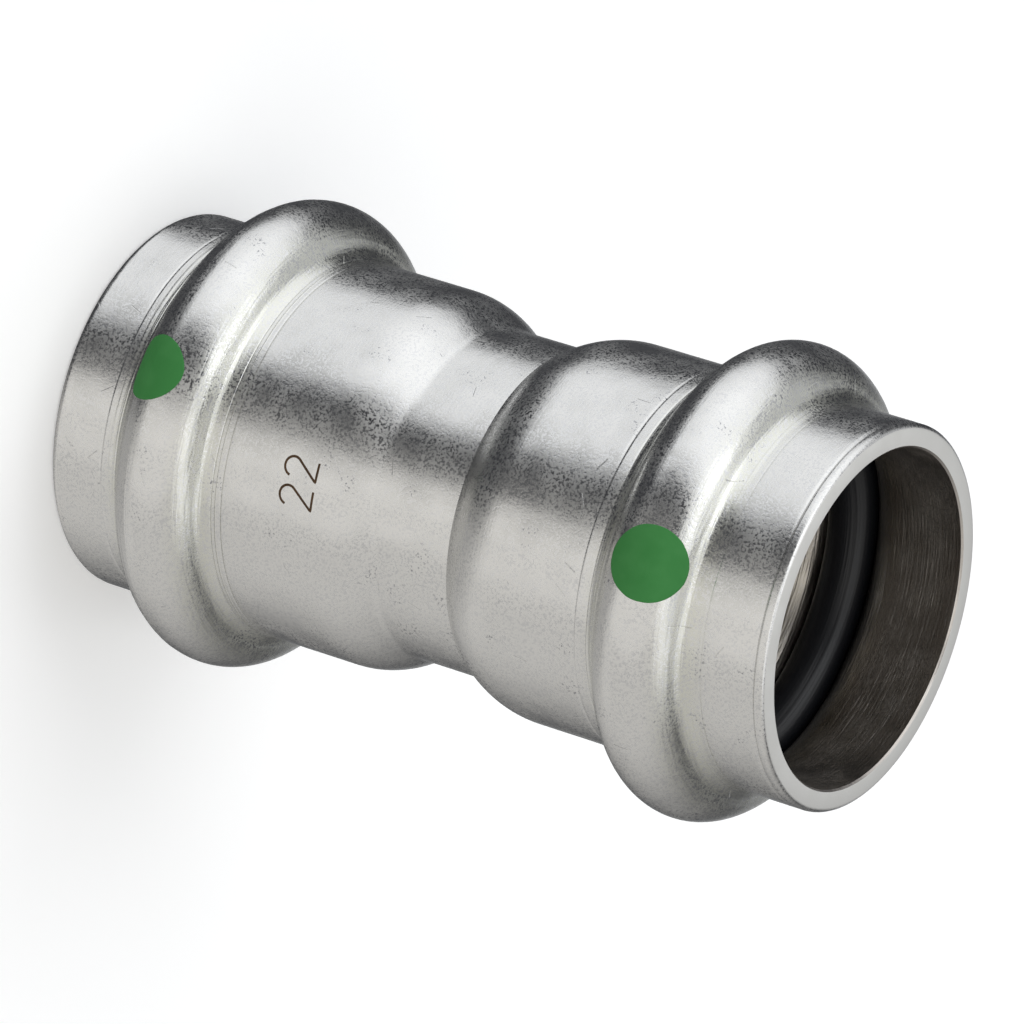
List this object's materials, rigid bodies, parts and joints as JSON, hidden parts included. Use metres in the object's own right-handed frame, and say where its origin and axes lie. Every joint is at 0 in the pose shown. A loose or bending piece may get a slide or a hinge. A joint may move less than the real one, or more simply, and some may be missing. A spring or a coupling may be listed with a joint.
{
  "type": "press coupling",
  "caption": "Straight stainless press coupling: a formed tube with a waisted pipe stop, a rounded bead near each end that holds a rubber seal ring, and a painted dot on each bead.",
  "frame": {"origin": "centre of the lower rim, on the surface that the coupling stands on", "axes": "+Z along the bore, from the lower rim to the upper rim; the painted dots face about -Y"},
  "size_m": [0.0312, 0.0314, 0.0543],
  "materials": {
    "stainless_steel": "satin, tumbled, with fine scratches",
    "black_rubber": "smooth, semi-matt",
    "green_paint": "flat, opaque dab of paint"
  },
  "bodies": {
    "root": {"coupling_body": "stainless_steel", "upper_seal_ring": "black_rubber", "lower_seal_ring": "black_rubber", "upper_paint_dot": "green_paint", "lower_paint_dot": "green_paint"}
  },
  "joints": []
}
